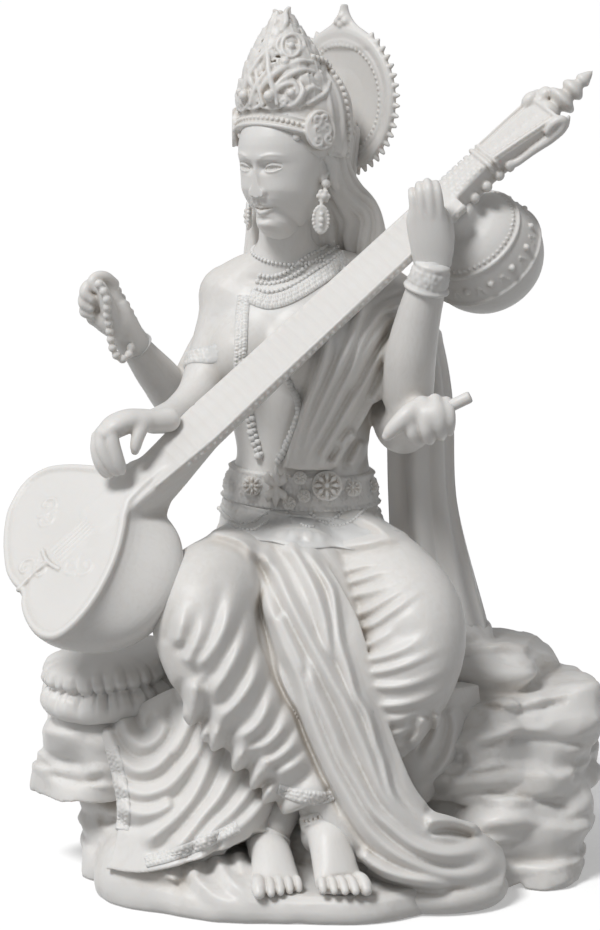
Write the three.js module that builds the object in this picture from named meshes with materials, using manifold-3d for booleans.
// A seated four-armed figure playing a long-necked lute on a ledge of rock, cast in one in white marble resin.
// Millimetres, +Z up. The origin is on the underside, below the middle of the whole, and the figure faces -Y.
import * as THREE from "three";
import { mergeVertices } from "three/addons/utils/BufferGeometryUtils.js";
import Module from "manifold-3d";

const wasm = await Module();
wasm.setup();

// Driving dimensions
const figureHeight = 260; // underside to the tip of the flame on the disc
const slabThickness = 8;
const slabHalfWidth = 62;
const slabHalfDepth = 59;
const discRadius = 25.5; // the disc behind the head
const discThickness = 2.6;
const headHeight = 38; // chin to the top of the skull
const crownHeight = 35;
const crownRadius = 15.5;
const neckWidth = 13; // across the lute's neck
const neckDepth = 11;
const bowlRadius = 27; // the lute's lower gourd
const bowlDepth = 33;
const upperGourdRadius = 17.5;
const cushionRadius = 22;
const cushionThickness = 18;
const handLength = 29;
const footLength = 30;
const finialLength = 18; // the turned end of the lute's neck
const rodRadius = 1.9;
const beltThickness = 2.2;
const mostTriangles = 10000;

// The pose is given in thousandths of the figure's height.
const share = figureHeight / 1000;
const at = (x, y, z) => new THREE.Vector3(x, y, z).multiplyScalar(share);
const direction = (x, y, z) => new THREE.Vector3(x, y, z).normalize();
const up = direction(0, 0, 1);
const turn = Math.PI * 2;
const cushionRest = 200; // the top of the ledge that carries the cushion, in thousandths

// A closed skin over rings of points. The first and the last ring are single points.
function skin(rings) {
  const sides = rings[1].length;
  const points = rings.flat();
  const last = rings.length - 1;
  const start = (row) => (row === 0 ? 0 : 1 + (row - 1) * sides);
  const faces = [];
  for (let row = 0; row < last; row += 1) {
    for (let side = 0; side < sides; side += 1) {
      const next = (side + 1) % sides;
      const a = start(row) + (row === 0 ? 0 : side);
      const b = start(row) + (row === 0 ? 0 : next);
      const c = start(row + 1) + (row + 1 === last ? 0 : next);
      const d = start(row + 1) + (row + 1 === last ? 0 : side);
      if (row > 0) faces.push(a, b, c);
      if (row + 1 < last) faces.push(a, c, d);
      if (row === 0) faces.pop(), faces.pop(), faces.pop(), faces.push(a, c, d);
    }
  }
  return new THREE.BufferGeometry().setFromPoints(points).setIndex(faces);
}

// A geometry as a solid: its shared points are merged, collapsed faces dropped and inward faces turned.
function solidOf(geometry) {
  const bare = geometry.clone();
  bare.deleteAttribute("normal");
  bare.deleteAttribute("uv");
  const merged = mergeVertices(bare, 1e-4);
  const kept = [];
  const index = merged.index.array;
  for (let i = 0; i < index.length; i += 3) {
    const [a, b, c] = [index[i], index[i + 1], index[i + 2]];
    if (a !== b && b !== c && c !== a) kept.push(a, b, c);
  }
  const build = (triVerts) =>
    new wasm.Manifold(
      new wasm.Mesh({
        numProp: 3,
        vertProperties: merged.attributes.position.array,
        triVerts: new Uint32Array(triVerts),
      }),
    );
  const made = build(kept);
  return made.volume() > 0 ? made : build(kept.reverse());
}

// Takes the slivers out of a closed mesh: its flattest and shortest edges are drawn together, as long as that
// turns no face over and keeps the mesh closed, until it has few enough triangles.
function lightened({ vertProperties, triVerts, numProp }, mostTriangles) {
  const points = Array.from({ length: vertProperties.length / numProp }, (_, i) => new THREE.Vector3().fromArray(vertProperties, i * numProp));
  const faces = Array.from({ length: triVerts.length / 3 }, (_, i) => Array.from(triVerts.subarray(i * 3, i * 3 + 3)));
  const around = points.map(() => new Set());
  faces.forEach((face, i) => face.forEach((v) => around[v].add(i)));
  const [e1, e2] = [new THREE.Vector3(), new THREE.Vector3()];
  const normalOf = (a, b, c) => new THREE.Vector3().crossVectors(e1.subVectors(b, a), e2.subVectors(c, a));
  // Each point keeps the planes of the faces that met there, as [normal, offset, weight].
  const planes = points.map((_, v) =>
    [...around[v]].map((i) => {
      const normal = normalOf(...faces[i].map((k) => points[k]));
      const weight = normal.length();
      normal.divideScalar(weight || 1);
      return [normal, normal.dot(points[v]), weight];
    }),
  );
  const strain = (list, p) => list.reduce((sum, [n, d, w]) => sum + w * (n.dot(p) - d) ** 2, 0);
  const ringOf = (v) => new Set([...around[v]].flatMap((i) => faces[i]).filter((k) => k !== v));
  const turnsOver = (v, other, p) =>
    [...around[v]].some((i) => {
      const face = faces[i];
      if (face.includes(other)) return false;
      const old = normalOf(...face.map((k) => points[k]));
      const fresh = normalOf(...face.map((k) => (k === v ? p : points[k])));
      return fresh.length() < 1e-3 || fresh.dot(old) < 0.3 * fresh.length() * old.length();
    });
  let count = faces.length;
  for (let limit = 1e-5; count > mostTriangles && limit < 10; limit *= 1.6) {
    for (let i = 0; i < faces.length && count > mostTriangles; i += 1) {
      for (let k = 0; k < 3 && faces[i]; k += 1) {
        const [a, b] = [faces[i][k], faces[i][(k + 1) % 3]];
        const length = points[a].distanceTo(points[b]);
        const both = [...planes[a], ...planes[b]];
        const choices = [points[a], points[b], points[a].clone().lerp(points[b], 0.5)].map((p) => [strain(both, p) + 1e-5 * length * length, p]);
        const [cost, p] = choices.sort((one, two) => one[0] - two[0])[0];
        if (cost > limit) continue;
        const ringB = ringOf(b);
        if ([...ringOf(a)].filter((v) => ringB.has(v)).length !== 2) continue;
        if (turnsOver(a, b, p) || turnsOver(b, a, p)) continue;
        points[a] = p.clone();
        planes[a] = both;
        for (const j of around[b]) {
          if (faces[j].includes(a)) {
            faces[j].forEach((v) => v !== b && around[v].delete(j));
            faces[j] = null;
            count -= 1;
          } else {
            faces[j] = faces[j].map((v) => (v === b ? a : v));
            around[a].add(j);
          }
        }
        around[b].clear();
      }
    }
  }
  const kept = faces.filter((face) => face);
  return mergeVertices(new THREE.BufferGeometry().setFromPoints(kept.flat().map((v) => points[v])), 1e-4);
}

function joined(solids) {
  let rest = solids;
  while (rest.length > 1) {
    const pairs = [];
    for (let i = 0; i < rest.length; i += 2) {
      pairs.push(i + 1 < rest.length ? rest[i].add(rest[i + 1]) : rest[i]);
    }
    rest = pairs;
  }
  return rest[0];
}

// Smooth values between knots: each knot holds a point and further sizes, all carried along together.
function spline(knots, t) {
  const span = knots.length - 1;
  const place = Math.min(Math.max(t, 0), 1) * span;
  const i = Math.min(Math.floor(place), span - 1);
  const f = place - i;
  const [p, q] = [knots[i], knots[i + 1]];
  const before = knots[i - 1] ?? p.map((v, k) => 2 * v - q[k]);
  const after = knots[i + 2] ?? q.map((v, k) => 2 * v - p[k]);
  return p.map((v, k) => {
    const m0 = (q[k] - before[k]) / 2;
    const m1 = (after[k] - v) / 2;
    const [f2, f3] = [f * f, f * f * f];
    return v * (2 * f3 - 3 * f2 + 1) + m0 * (f3 - 2 * f2 + f) + q[k] * (3 * f2 - 2 * f3) + m1 * (f3 - f2);
  });
}

// A rounded limb: an ellipse carried along the knots [x, y, z, half width, half depth], with domed ends.
// side is the way its width runs, and relief raises its skin by a length for a place round and along it.
function limb(knots, { sides = 10, steps = 8, side = direction(1, 0, 0), relief, dome = 0.5 } = {}) {
  const full = knots.map(([x, y, z, a, b = a]) => [x, y, z, a, b]);
  const centre = (t) => at(...spline(full, t).slice(0, 3));
  const ring = (t, scale, push) => {
    const [, , , a, b] = spline(full, t);
    const along = centre(Math.min(t + 0.01, 1)).sub(centre(Math.max(t - 0.01, 0))).normalize();
    const across = side.clone().addScaledVector(along, -side.dot(along)).normalize();
    const deep = new THREE.Vector3().crossVectors(along, across);
    const middle = centre(t).addScaledVector(along, push * Math.min(a, b) * share * dome);
    if (scale === 0) return [middle];
    return Array.from({ length: sides }, (_, i) => {
      const angle = (turn * i) / sides;
      const raised = relief ? relief(angle, t) : 0;
      return middle
        .clone()
        .addScaledVector(across, Math.cos(angle) * (a * share + raised) * scale)
        .addScaledVector(deep, Math.sin(angle) * (b * share + raised) * scale);
    });
  };
  const rings = [ring(0, 0, -1), ring(0, 0.7, -0.7)];
  for (let i = 0; i <= steps; i += 1) rings.push(ring(i / steps, 1, 0));
  rings.push(ring(1, 0.7, 0.7), ring(1, 0, 1));
  return solidOf(skin(rings));
}

// A cloth over guide lines, each a row of knots [x, y, z] running down it. Folds follow the guides and stand
// out from its face. behind is the way its back lies.
function cloth(guides, { behind, folds, depth = 5, thickness = 24, steps = 8, fade = 0 }) {
  const across = folds * 2;
  const inward = direction(...behind).multiplyScalar(thickness * share);
  const flat = (s, t) => at(...spline(guides.map((guide) => spline(guide, t)), s));
  const front = (s, t) => {
    const [s0, s1] = [Math.max(s - 0.03, 0), Math.min(s + 0.03, 1)];
    const [t0, t1] = [Math.max(t - 0.03, 0), Math.min(t + 0.03, 1)];
    const out = flat(s1, t).sub(flat(s0, t)).cross(flat(s, t1).sub(flat(s, t0))).normalize();
    if (out.dot(inward) > 0) out.negate();
    const strength = depth * share * (1 - fade * t);
    return flat(s, t).addScaledVector(out, Math.round(s * across) % 2 ? strength : -strength);
  };
  const rings = [];
  for (let i = 0; i <= steps; i += 1) {
    const t = i / steps;
    const fore = Array.from({ length: across + 1 }, (_, k) => front(k / across, t));
    const aft = Array.from({ length: 4 }, (_, k) => flat(1 - k / 3, t).add(inward));
    rings.push([...fore, ...aft]);
  }
  const middle = (ring) => [ring.reduce((sum, p) => sum.add(p), new THREE.Vector3()).divideScalar(ring.length)];
  return solidOf(skin([middle(rings[0]), ...rings, middle(rings[steps])]));
}

// A turned shape: the profile [radius, height] stands on a foot point and rises along an axis. Lengths in millimetres.
function turned(profile, foot, axis, sides = 14) {
  const geometry = new THREE.LatheGeometry(
    profile.map(([r, h]) => new THREE.Vector2(r, h)),
    sides,
  );
  geometry.applyQuaternion(new THREE.Quaternion().setFromUnitVectors(new THREE.Vector3(0, 1, 0), axis));
  geometry.translate(foot.x, foot.y, foot.z);
  return solidOf(geometry);
}

function ball(centre, radius, sides = 8) {
  const geometry = new THREE.SphereGeometry(radius, sides, Math.max(4, Math.round(sides * 0.6)));
  geometry.translate(centre.x, centre.y, centre.z);
  return solidOf(geometry);
}

// A block of rock: an uneven outline carried up in strata that jut out and step back.
function ledge([x, y, low], [halfWidth, halfDepth, high], bump, lean = 0) {
  const sides = 14;
  const outline = (angle, layer) =>
    1 + 0.07 * Math.sin(3 * angle + bump + layer) + 0.06 * Math.sin(5 * angle + bump * 2.3 - layer * 0.7);
  const strata = [[0.97, 0], [1, 0.26], [0.9, 0.34], [0.98, 0.56], [0.99, 0.72], [0.88, 0.82], [0.84, 1]];
  const rings = strata.map(([scale, rise], layer) =>
    Array.from({ length: sides }, (_, i) => {
      const angle = (turn * i) / sides;
      const far = outline(angle, layer * 0.35) * scale;
      const height = low + (high - low) * rise * (rise < 1 ? 1 + 0.04 * Math.sin(4 * angle + bump) : 1);
      return at(x + lean * rise + halfWidth * far * Math.cos(angle), y + halfDepth * far * Math.sin(angle), height);
    }),
  );
  return solidOf(skin([[at(x, y, low)], ...rings, [at(x + lean, y, high + 4)]]));
}

function rock() {
  return [
    ledge([20, 70, 0], [245, 152, 130], 0.6),
    ledge([44, 88, 110], [190, 130, 318], 1.9, -10),
    ledge([30, -20, 0], [120, 96, 262], 4.7),
    ledge([222, 34, 0], [112, 146, 112], 2.7),
    ledge([222, 48, 96], [124, 138, 214], 0.2, 4),
    ledge([205, 78, 190], [100, 96, 262], 4.1, -8),
    ledge([-164, 26, 0], [88, 112, 110], 3.3),
    ledge([-206, 16, 92], [98, 96, cushionRest - 4], 5.2, 2),
  ];
}

// The slab under the feet, with a softened upper edge.
function slab() {
  const sides = 36;
  const ring = (inset, z) =>
    Array.from({ length: sides }, (_, i) => {
      const angle = (turn * i) / sides;
      const far = 1 + 0.02 * Math.sin(5 * angle + 1) + 0.015 * Math.sin(9 * angle);
      return new THREE.Vector3(
        (slabHalfWidth * far - inset) * Math.cos(angle) - 4 * share,
        (slabHalfDepth * far - inset) * Math.sin(angle) - 20 * share,
        z,
      );
    });
  const middle = (z) => [new THREE.Vector3(-4 * share, -20 * share, z)];
  return solidOf(
    skin([middle(0), ring(1.2, 0), ring(0, slabThickness * 0.35), ring(2.2, slabThickness), middle(slabThickness)]),
  );
}

// The round cushion below the lute: two gathered halves meeting in a seam.
function cushion() {
  const sides = 32;
  const middle = at(-216, -12, cushionRest).addScaledVector(up, cushionThickness / 2 - 1.5);
  const axis = direction(-0.12, -0.1, 1);
  const across = direction(1, 0, 0.12);
  const deep = new THREE.Vector3().crossVectors(axis, across);
  const half = cushionThickness / 2;
  const ring = (far, height, pleat) =>
    Array.from({ length: sides }, (_, i) => {
      const angle = (turn * i) / sides;
      const out = cushionRadius * far + (i % 2 ? pleat : -pleat);
      return middle
        .clone()
        .addScaledVector(across, Math.cos(angle) * out)
        .addScaledVector(deep, Math.sin(angle) * out)
        .addScaledVector(axis, height);
    });
  const pole = (height) => [middle.clone().addScaledVector(axis, height)];
  return solidOf(
    skin([
      pole(-half),
      ring(0.7, -half, 0.2),
      ring(0.95, -half * 0.6, 0.5),
      ring(0.97, -half * 0.1, 0.5),
      ring(0.88, half * 0.1, 0.3),
      ring(0.95, half * 0.35, 0.5),
      ring(0.85, half * 0.8, 0.5),
      ring(0.55, half, 0.2),
      pole(half),
    ]),
  );
}

// Folds that hang round a leg: slanted waves whose strength grows along it.
const legFolds = (count, depth, slant, from) => (angle, t) =>
  Math.sin(turn * count * t + slant * Math.sin(angle)) * depth * share * Math.min(1, Math.max(0, (t - from) * 5));

function legs() {
  const right = [
    [-30, 44, 362, 64], [-68, -54, 352, 61], [-105, -134, 340, 59], [-100, -158, 292, 55],
    [-72, -163, 238, 48], [-38, -162, 196, 41], [-14, -160, 164, 37], [8, -158, 130, 32],
  ];
  const left = [
    [32, 44, 362, 66], [86, -31, 344, 67], [128, -98, 318, 61], [126, -124, 272, 59],
    [97, -118, 214, 52], [48, -104, 150, 40], [4, -90, 100, 28],
  ];
  return [
    limb(right, { sides: 14, steps: 22, relief: legFolds(8, 5, 1.4, 0.3) }),
    limb(left, { sides: 14, steps: 20, relief: legFolds(8, 5, 1.8, 0.12) }),
    limb([[0, 66, 300, 96, 74], [0, 62, 345, 100, 80], [0, 56, 390, 94, 72], [0, 48, 425, 86, 62]], { sides: 12, steps: 3 }),
    limb([[12, -165, 128, 37], [18, -168, 116, 38], [22, -170, 106, 35]], { sides: 12, steps: 2, dome: 0.1 }),
  ];
}

// A bare foot: a wedge from heel to ball with five toes. toes is the way it points.
function foot(ankle, toes, width) {
  const lengthUnit = footLength;
  const side = new THREE.Vector3().crossVectors(toes, up).normalize();
  const rise = new THREE.Vector3().crossVectors(side, toes).normalize();
  const local = (forward, across, height) =>
    ankle
      .clone()
      .addScaledVector(toes, forward * lengthUnit)
      .addScaledVector(side, across * lengthUnit)
      .addScaledVector(rise, height * lengthUnit)
      .divideScalar(share)
      .toArray();
  const wide = (width * lengthUnit) / share;
  const parts = [
    limb(
      [
        [...local(-0.2, 0, -0.14), wide * 0.7, wide * 0.7],
        [...local(0.1, 0, -0.1), wide * 0.8, wide * 0.85],
        [...local(0.4, 0, -0.17), wide * 0.98, wide * 0.55],
        [...local(0.62, 0, -0.24), wide * 1.02, wide * 0.36],
      ],
      { side, sides: 10, steps: 5 },
    ),
  ];
  for (let i = 0; i < 5; i += 1) {
    const across = (i - 2) * width * 0.43;
    const reach = 0.86 - 0.035 * i * Math.abs(i - 0.5);
    const thick = ((i === 0 ? 0.062 : 0.046) * lengthUnit) / share;
    parts.push(
      limb([[...local(0.55, across, -0.24), thick], [...local(reach, across * 1.05, -0.28), thick * 0.9]], {
        side,
        sides: 6,
        steps: 2,
      }),
    );
  }
  return parts;
}

// A hand from its wrist. along runs to the knuckles, back out of its back and thumb to the thumb's side.
// Each finger bends towards the palm by its three angles, in degrees, and fans out by its spread.
function hand({ wrist, along, back, leftHand, curls, thumb }) {
  const towards = along.clone().normalize();
  const outward = back.clone().addScaledVector(towards, -back.dot(towards)).normalize();
  const thumbSide = new THREE.Vector3().crossVectors(towards, outward).multiplyScalar(leftHand ? 1 : -1);
  const local = (a, s, b) =>
    wrist
      .clone()
      .addScaledVector(towards, a * handLength)
      .addScaledVector(thumbSide, s * handLength)
      .addScaledVector(outward, b * handLength);
  const knot = (point, radius, flat = radius) => [
    ...point.clone().divideScalar(share).toArray(),
    (radius * handLength) / share,
    (flat * handLength) / share,
  ];
  const parts = [
    limb([knot(local(-0.04, 0, 0), 0.15, 0.13), knot(local(0.2, 0.02, 0.01), 0.19, 0.12), knot(local(0.46, 0, 0), 0.21, 0.095)], {
      side: thumbSide,
      sides: 10,
      steps: 4,
    }),
  ];
  const lengths = [0.42, 0.47, 0.43, 0.34];
  lengths.forEach((length, i) => {
    const [spread, ...bends] = curls[i];
    const start = local(0.47 - 0.02 * Math.abs(i - 1), 0.155 - 0.102 * i, -0.01);
    const knots = [knot(start, 0.062)];
    const heading = towards.clone().applyAxisAngle(outward, THREE.MathUtils.degToRad(leftHand ? spread : -spread));
    const hinge = new THREE.Vector3().crossVectors(outward, heading).normalize();
    const point = start.clone();
    bends.forEach((bend, k) => {
      heading.applyAxisAngle(hinge, THREE.MathUtils.degToRad(bend));
      point.addScaledVector(heading, length * [0.45, 0.32, 0.23][k] * handLength);
      knots.push(knot(point, [0.056, 0.05, 0.042][k]));
    });
    parts.push(limb(knots, { side: hinge, sides: 5, steps: 4, dome: 0.8 }));
  });
  const [out, down, curl] = thumb;
  const start = local(0.1, 0.12, -0.04);
  const knots = [knot(start, 0.075)];
  const point = start.clone();
  [0.24, 0.19, 0.15].forEach((length, k) => {
    const openness = THREE.MathUtils.degToRad(out - curl * k);
    const drop = THREE.MathUtils.degToRad(down + curl * k * 0.5);
    const heading = towards
      .clone()
      .multiplyScalar(Math.cos(openness))
      .addScaledVector(thumbSide, Math.sin(openness) * Math.cos(drop))
      .addScaledVector(outward, -Math.sin(openness) * Math.sin(drop));
    point.addScaledVector(heading, length * handLength);
    knots.push(knot(point, [0.07, 0.062, 0.05][k]));
  });
  parts.push(limb(knots, { side: thumbSide, sides: 5, steps: 4, dome: 0.8 }));
  return parts;
}

function arms() {
  const rightFront = [
    [-76, 31, 664, 31], [-91, 23, 636, 27], [-102, 8, 602, 25], [-115, -23, 561, 24],
    [-134, -62, 547, 22], [-155, -96, 543, 19], [-172, -121, 540, 16],
  ];
  const rightBack = [
    [-70, 66, 652, 29], [-104, 85, 600, 26], [-140, 85, 542, 24], [-163, 66, 569, 24], [-185, 42, 602, 19], [-198, 28, 624, 15],
  ];
  const leftFront = [
    [88, 0, 659, 33], [110, -20, 612, 30], [121, -54, 562, 28], [123, -77, 604, 29], [131, -92, 651, 25], [144, -108, 704, 20],
  ];
  const leftBack = [
    [96, 46, 649, 29], [114, 40, 590, 29], [117, 8, 528, 34], [121, -42, 526, 28], [127, -80, 531, 21], [133, -96, 535, 20],
  ];
  return [
    limb(rightFront, { steps: 9 }),
    limb(rightBack, { steps: 9 }),
    limb(leftFront, { steps: 9 }),
    limb(leftBack, { steps: 9 }),
    ...hand({
      wrist: at(-172, -121, 540), along: direction(-0.72, -0.62, -0.1), back: direction(-0.1, -0.1, 1), leftHand: false,
      curls: [[2, 62, 38, 18], [0, 66, 40, 20], [-4, 68, 44, 22], [-10, 70, 46, 24]], thumb: [38, 75, 4],
    }),
    ...hand({
      wrist: at(-198, 28, 624), along: direction(-0.38, -0.25, 0.9), back: direction(0.3, 0.95, 0.25), leftHand: false,
      curls: [[4, 30, 42, 30], [0, 45, 50, 30], [-4, 55, 55, 35], [-10, 60, 60, 35]], thumb: [25, 70, -6],
    }),
    ...hand({
      wrist: at(144, -110, 712), along: direction(-0.05, -0.02, 1), back: direction(0, -1, 0), leftHand: true,
      curls: [[4, 30, 50, 40], [1, 30, 52, 40], [-2, 30, 54, 40], [-6, 34, 54, 40]], thumb: [30, 78, -10],
    }),
    ...hand({
      wrist: at(131, -96, 536), along: direction(0.25, -0.95, 0.1), back: direction(0.1, 0.3, 0.95), leftHand: true,
      curls: [[0, 82, 88, 50], [0, 84, 88, 50], [0, 86, 88, 50], [0, 88, 88, 50]], thumb: [50, 20, 12],
    }),
    turned([[0, 0], [rodRadius, 0], [rodRadius, 24], [0, 24]], at(108, -138, 533), direction(0.9, -0.02, 0.42), 10),
  ];
}

function torso() {
  const trunk = [
    [0, 50, 405, 92, 68], [1, 42, 446, 84, 62], [3, 35, 482, 76, 54], [2, 31, 523, 80, 55], [-2, 22, 576, 88, 58],
    [-5, 18, 617, 92, 56], [-5, 23, 652, 92, 50], [-9, 30, 683, 66, 40], [-14, 27, 705, 36, 33], [-17, 18, 735, 30, 30],
  ];
  const bust = (x, y, z, radius) => limb([[x, y, z - 8, radius * 0.8], [x, y, z + 10, radius * 0.75]], { sides: 10, steps: 2, dome: 1 });
  const belt = [[0, 45, 424, 90, 66], [1, 42, 446, 87, 64], [2, 37, 466, 80, 58]];
  const ornament = (angle, t) => (Math.sin(angle * 9) > 0 ? beltThickness : beltThickness * 0.5) * (t > 0.1 && t < 0.9 ? 1 : 0.4);
  return [
    limb(trunk, { sides: 14, steps: 10 }),
    bust(-66, -14, 606, 40),
    bust(14, -32, 610, 42),
    limb(belt, { sides: 18, steps: 2, relief: ornament, dome: 0.1 }),
  ];
}

function cloths() {
  const lap = [
    [[-43, -31, 384], [-42, -134, 354], [-24, -168, 302], [0, -188, 239], [33, -206, 165], [68, -218, 90], [110, -223, 46], [176, -208, 28], [222, -177, 22]],
    [[-17, -31, 392], [0, -140, 367], [24, -178, 304], [55, -196, 240], [86, -206, 164], [119, -210, 109], [160, -204, 74], [205, -177, 55], [227, -150, 39]],
    [[9, -23, 386], [39, -118, 369], [64, -148, 321], [80, -168, 257], [102, -176, 191], [127, -182, 136], [165, -162, 96], [202, -132, 76], [226, -105, 48]],
  ];
  const side = [
    [[-128, -100, 262], [-148, -123, 210], [-178, -108, 173], [-213, -85, 168], [-239, -62, 181]],
    [[-112, -132, 233], [-131, -154, 165], [-167, -154, 123], [-202, -131, 114], [-226, -108, 130]],
    [[-90, -142, 200], [-111, -177, 142], [-144, -185, 99], [-180, -177, 73], [-214, -154, 67]],
    [[-62, -142, 167], [-86, -185, 113], [-119, -208, 82], [-148, -215, 60], [-178, -208, 45]],
    [[-32, -134, 136], [-51, -169, 118], [-66, -192, 104], [-81, -208, 86], [-104, -216, 66]],
  ];
  const underKnee = [
    [[105, -92, 230], [112, -100, 176], [108, -100, 122]],
    [[172, -77, 230], [162, -88, 166], [127, -95, 110]],
    [[206, -31, 225], [202, -38, 160], [142, -70, 100]],
  ];
  const shawl = [
    [[84, 64, 676], [100, 66, 560], [104, 66, 440], [112, 60, 290]],
    [[128, 44, 664], [146, 42, 560], [150, 42, 430], [166, 30, 284]],
    [[164, 56, 622], [178, 62, 540], [184, 62, 420], [220, 60, 272]],
  ];
  const sari = [
    [[50, -32, 696], [36, -84, 626], [6, -62, 560], [-34, -24, 470]],
    [[94, -26, 690], [74, -72, 616], [42, -56, 545], [10, -34, 468]],
    [[126, 6, 668], [108, -26, 612], [80, -28, 545], [56, -16, 468]],
  ];
  return [
    cloth(lap, { behind: [-0.2, 1, -0.5], folds: 5, depth: 6, thickness: 44, steps: 15 }),
    cloth(side, { behind: [0.5, 1, -0.4], folds: 7, depth: 6, thickness: 60, steps: 8 }),
    cloth(underKnee, { behind: [-0.7, 0.7, 0], folds: 3, depth: 6, thickness: 40, steps: 4 }),
    cloth(shawl, { behind: [0, 1, 0], folds: 4, depth: 6, thickness: 34, steps: 7 }),
    cloth(sari, { behind: [-0.1, 1, -0.1], folds: 5, depth: 5, thickness: 40, steps: 7 }),
  ];
}

// The head turns to the figure's right. Heights up the head are shares of headHeight from its middle.
const headTurn = direction(-0.61, -0.78, -0.1);
const headSide = new THREE.Vector3().crossVectors(up, headTurn).normalize();
const headRise = new THREE.Vector3().crossVectors(headTurn, headSide).normalize();
const headMiddle = at(-14, 0, 822);
const inHead = (forward, side, rise) =>
  headMiddle
    .clone()
    .addScaledVector(headTurn, forward * headHeight)
    .addScaledVector(headSide, side * headHeight)
    .addScaledVector(headRise, rise * headHeight);

// How far the features stand out of the head's front, at a place across and up it.
function face(side, rise) {
  const bump = (s, r, wide, tall) => Math.exp(-(((side - s) / wide) ** 2) - ((rise - r) / tall) ** 2);
  const pair = (s, r, wide, tall) => bump(s, r, wide, tall) + bump(-s, r, wide, tall);
  const ridge = Math.min(Math.max((0.06 - rise) / 0.22, 0), 1);
  const nose = rise > -0.2 ? 0.095 * ridge * Math.exp(-((side / (0.028 + 0.03 * ridge)) ** 2)) : 0;
  const sockets = -0.055 * pair(0.145, 0.01, 0.075, 0.045);
  const lids = 0.04 * pair(0.145, -0.005, 0.05, 0.028);
  const brows = 0.02 * pair(0.13, 0.09, 0.1, 0.025);
  const lips = 0.035 * bump(0, -0.275, 0.06, 0.02) + 0.035 * bump(0, -0.325, 0.05, 0.02);
  const cheeks = 0.02 * pair(0.17, -0.17, 0.1, 0.09);
  const chin = 0.03 * bump(0, -0.42, 0.08, 0.05);
  return nose + sockets + lids + brows + lips + cheeks + chin;
}

function head() {
  const sides = 30;
  const levels = [
    [-0.5, 0.28, 0.08, 0.1], [-0.46, 0.36, 0.15, 0.15], [-0.42, 0.385, 0.185, 0.18], [-0.375, 0.39, 0.21, 0.21], [-0.345, 0.392, 0.225, 0.24],
    [-0.325, 0.394, 0.235, 0.26], [-0.3, 0.396, 0.25, 0.28], [-0.275, 0.398, 0.26, 0.3], [-0.25, 0.4, 0.272, 0.31], [-0.21, 0.404, 0.285, 0.34],
    [-0.19, 0.406, 0.29, 0.35], [-0.14, 0.41, 0.302, 0.37], [-0.08, 0.413, 0.313, 0.38], [-0.03, 0.416, 0.322, 0.39], [0.01, 0.418, 0.326, 0.4],
    [0.05, 0.424, 0.33, 0.405], [0.09, 0.43, 0.332, 0.41], [0.2, 0.42, 0.33, 0.41], [0.36, 0.34, 0.28, 0.35], [0.46, 0.2, 0.17, 0.2],
  ];
  // Points crowd towards the front of each ring, where the face is.
  const spread = (i) => (turn * i) / sides - 0.32 * Math.sin((turn * i) / sides);
  const ring = ([rise, front, wide, rear]) =>
    Array.from({ length: sides }, (_, i) => {
      const angle = spread(i);
      const side = Math.sin(angle) * wide;
      const forward = Math.cos(angle);
      return inHead(forward > 0 ? forward * front + face(side, rise) * forward : forward * rear, side, rise);
    });
  const strands = (angle, t) => Math.sin(angle * 6 + t * 3) * 0.5;
  const hair = [
    limb([[40, 58, 850, 40], [54, 54, 806, 34], [70, 46, 776, 32, 28], [90, 36, 750, 26, 24], [96, 34, 712, 26, 20], [92, 26, 676, 20, 14]], { sides: 12, steps: 8, relief: strands }),
    limb([[8, 36, 860, 52, 40], [2, 56, 800, 52, 38], [-2, 64, 740, 50, 32], [-2, 74, 672, 54, 24], [0, 82, 590, 48, 18], [2, 84, 510, 30, 14], [2, 84, 470, 14, 10]], { sides: 14, steps: 9, relief: strands }),
  ];
  const earring = (side) => {
    const top = inHead(-0.03, side * 0.285, -0.16);
    return turned([[0, -9], [1.8, -7.6], [2.3, -5.4], [1.2, -2.4], [0.9, 0], [0, 1.2]], top, up, 8);
  };
  return [solidOf(skin([[inHead(0.1, 0, -0.52)], ...levels.map(ring), [inHead(0, 0, 0.5)]])), ...hair, earring(1), earring(-1)];
}

// The tall crown: a banded cone carved with rows of upright leaves, with a rosette at each temple.
function crown() {
  const foot = inHead(-0.02, 0, 0.25);
  const axis = direction(-0.16, 0.05, 1);
  const side = new THREE.Vector3().crossVectors(axis, headTurn).normalize();
  const front = new THREE.Vector3().crossVectors(side, axis);
  const sides = 24;
  const profile = [
    [0, 1, 0], [0.05, 1.06, 0], [0.13, 1.06, 0], [0.16, 0.98, 0], [0.26, 1, 0.05], [0.36, 0.96, 0.09], [0.4, 0.82, 0.02], [0.5, 0.84, 0.07],
    [0.6, 0.76, 0.09], [0.64, 0.6, 0.02], [0.74, 0.58, 0.07], [0.82, 0.46, 0.07], [0.86, 0.3, 0.02], [0.94, 0.24, 0.03],
  ];
  const ring = ([rise, far, leaf]) =>
    Array.from({ length: sides }, (_, i) => {
      const angle = (turn * i) / sides;
      const out = crownRadius * (far + leaf * Math.cos(angle * 8 + (rise > 0.38 && rise < 0.62 ? Math.PI : 0)));
      return foot
        .clone()
        .addScaledVector(axis, rise * crownHeight)
        .addScaledVector(front, Math.cos(angle) * out)
        .addScaledVector(side, Math.sin(angle) * out);
    });
  const parts = [solidOf(skin([[foot], ...profile.map(ring), [foot.clone().addScaledVector(axis, crownHeight)]]))];
  for (const hand of [-1, 1]) {
    const outward = headSide.clone().multiplyScalar(hand).addScaledVector(headTurn, 0.35).normalize();
    const r = headHeight * 0.13;
    parts.push(turned([[0, -r], [r, -r * 0.6], [r * 1.05, r * 0.3], [r * 0.7, r * 0.5], [r * 0.45, r * 0.35], [0, r * 0.75]], inHead(0.1, hand * 0.33, 0.19), outward, 10));
  }
  parts.push(ball(inHead(0.43, 0, 0.24), headHeight * 0.055, 6));
  return parts;
}

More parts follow.
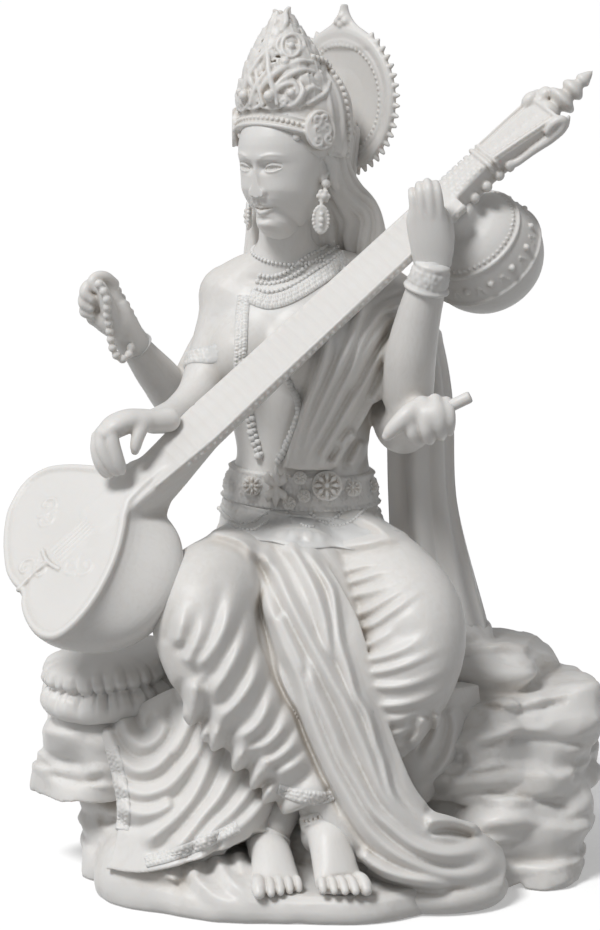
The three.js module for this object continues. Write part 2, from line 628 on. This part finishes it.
// The disc behind the head: a dished plate with a toothed rim and a flame at the top.
function disc() {
  const middle = at(46, 74, 889);
  const facing = direction(-0.64, -0.77, 0);
  const side = new THREE.Vector3().crossVectors(up, facing).normalize();
  const teeth = 30;
  const ring = (far, forward, tooth) =>
    Array.from({ length: teeth * 2 }, (_, i) => {
      const angle = (turn * i) / (teeth * 2);
      const out = discRadius * far + (i % 2 ? tooth : -tooth);
      return middle
        .clone()
        .addScaledVector(side, Math.sin(angle) * out)
        .addScaledVector(up, Math.cos(angle) * out)
        .addScaledVector(facing, forward);
    });
  const pole = (forward) => [middle.clone().addScaledVector(facing, forward)];
  const half = discThickness / 2;
  const plate = solidOf(skin([pole(-half), ring(0.94, -half, 0.4), ring(0.97, half, 0.6), ring(0.72, half * 1.2, 0), pole(-half * 0.2)]));
  const tip = middle.clone().addScaledVector(up, figureHeight - middle.z);
  const low = middle.clone().addScaledVector(up, discRadius * 0.8);
  const knot = (point, wide, deep) => [...point.clone().divideScalar(share).toArray(), wide, deep];
  const flame = limb([knot(low, 44, 6), knot(low.clone().lerp(tip, 0.5), 24, 6), knot(low.clone().lerp(tip, 0.97), 4, 3)], { side, sides: 8, steps: 4, dome: 0.2 });
  const stem = limb([knot(inHead(-0.2, 0, 0.45), 22, 22), knot(middle, 26, 26)], { sides: 8, steps: 2 });
  return [plate, flame, stem];
}

// The lute: a heart-shaped belly over a deep bowl, a long neck, a peg box with knobs, a finial and an upper gourd.
function lute() {
  const tail = at(-193, -135, 444);
  const end = at(326, -38, 925);
  const along = end.clone().sub(tail).normalize();
  const facing = direction(-0.383, -0.756, 0.532);
  facing.addScaledVector(along, -facing.dot(along)).normalize();
  const across = new THREE.Vector3().crossVectors(facing, along);
  const point = (origin, a, w, n) => origin.clone().addScaledVector(along, a).addScaledVector(across, w).addScaledVector(facing, n);
  const middle = point(tail, -0.72 * bowlRadius, -1.5, 0);

  const sides = 28;
  const outline = (angle) => {
    const notch = 1 - 0.16 * Math.exp(-(((Math.PI - Math.abs(angle)) / 0.28) ** 2));
    const shoulder = 1 + 0.45 * Math.exp(-((angle / 0.34) ** 2));
    return bowlRadius * notch * shoulder;
  };
  const ring = (far, depth) =>
    Array.from({ length: sides }, (_, i) => {
      const angle = (turn * i) / sides - Math.PI;
      const out = outline(angle) * far;
      return point(middle, Math.cos(angle) * out, Math.sin(angle) * out, depth);
    });
  const dome = [0.3, 0.55, 0.78, 0.93];
  const bowl = solidOf(
    skin([
      [point(middle, 0, 0, 0)],
      ring(0.92, 0),
      ring(0.985, -0.6),
      ring(1, -bowlDepth * 0.1),
      ...dome.map((d) => ring(Math.sqrt(1 - d * d), -bowlDepth * d)),
      [point(middle, 0, 0, -bowlDepth)],
    ]),
  );

  const neckRing = (a, wide, deep) =>
    [[-1, -0.1], [-0.86, 0], [0.86, 0], [1, -0.1], [0.95, -0.55], [0.6, -0.9], [0, -1.05], [-0.6, -0.9], [-0.95, -0.55]].map(([w, n]) =>
      point(tail, a, (w * wide) / 2, n * deep),
    );
  const neckLength = end.distanceTo(tail);
  const shoulder = 1 - (finialLength - 1) / neckLength; // where the turned end begins
  const bridge = [[-0.04, 1.2, 1.2], [0.1, 1.14, 1.1], [0.4, 1, 1], [0.68, 0.94, 0.95], [0.7, 1.1, 1.05], [0.72, 0.96, 0.95], [0.84, 0.9, 0.85], [shoulder, 0.55, 0.6]];
  const neckRows = bridge.map(([a, wide, deep]) => neckRing(a * neckLength, neckWidth * wide, neckDepth * deep));
  const neckEnd = (a) => [point(tail, a * neckLength, 0, -neckDepth * 0.4)];
  const parts = [bowl, solidOf(skin([neckEnd(-0.04), ...neckRows, neckEnd(shoulder + 0.01)]))];

  const finial = [[0, 0], [3, 0], [3, 0.11], [2, 0.18], [4.6, 0.26], [4.8, 0.33], [2.2, 0.44], [3.8, 0.52], [3.6, 0.59], [1.6, 0.69], [2.6, 0.76], [2, 0.83], [0.8, 0.94], [0, 1]].map(
    ([r, h]) => [r, h * finialLength],
  );
  parts.push(turned(finial, point(tail, neckLength - finialLength, 0, 0), along, 10));
  for (let i = 0; i < 4; i += 1) {
    parts.push(ball(point(tail, neckLength * (0.7 + 0.026 * i), -neckWidth * 0.52, -neckDepth * 0.25), 2, 6));
  }
  const hook = [0.8, 0.85, 0.89, 0.875].map((a, i) => [
    ...point(tail, neckLength * a, -neckWidth * [0.62, 0.58, 0.4, 0.2][i], 0.5).divideScalar(share).toArray(),
    [7, 9, 9, 6][i],
  ]);
  parts.push(limb(hook, { sides: 7, steps: 5 }));

  const gourdAxis = direction(0.45, 0.6, -0.62);
  const gourdTop = at(178, -40, 756);
  const g = upperGourdRadius;
  parts.push(
    turned([[0, -g * 0.35], [g * 0.34, -g * 0.3], [g * 0.4, 0], [g * 0.8, g * 0.3], [g, g * 0.8], [g * 1.03, g * 1.0], [g * 0.94, g * 1.35], [g * 0.62, g * 1.72], [0, g * 1.88]], gourdTop, gourdAxis, 20),
  );
  return parts;
}

function necklace() {
  const loop = (centre, wide, deep, drop, thick) => {
    const curve = new THREE.CatmullRomCurve3(
      Array.from({ length: 14 }, (_, i) => {
        const angle = (turn * i) / 14;
        return at(centre[0] + wide * Math.sin(angle), centre[1] - deep * Math.cos(angle), centre[2] - drop * Math.cos(angle));
      }),
      true,
    );
    const geometry = new THREE.TubeGeometry(curve, 24, thick * share, 5, true);
    return solidOf(geometry);
  };
  return [loop([-12, 22, 704], 42, 44, 16, 7), loop([-12, 22, 690], 54, 56, 26, 5)];
}

const solids = [
  ...rock(),
  slab(),
  cushion(),
  ...legs(),
  ...foot(at(31, -162, 88), direction(0.12, -0.86, -0.36), 0.25),
  ...foot(at(-18, -112, 76), direction(-0.1, -0.92, -0.28), 0.23),
  ...torso(),
  ...arms(),
  ...cloths(),
  ...head(),
  ...crown(),
  ...disc(),
  ...lute(),
  ...necklace(),
];
// A casting has no closed pockets between its forms, so the shells that bound them are left out.
const figure = joined(
  joined(solids)
    .decompose()
    .filter((shell) => shell.volume() > 0),
);
const geometry = lightened(figure.getMesh(), mostTriangles);
geometry.computeVertexNormals();

const marble = new THREE.MeshStandardMaterial({ color: 0xe6e3de, roughness: 0.5, metalness: 0 });
const mesh = new THREE.Mesh(geometry, marble);
mesh.name = "seated_figure";

const group = new THREE.Group();
group.add(mesh);
export default group;
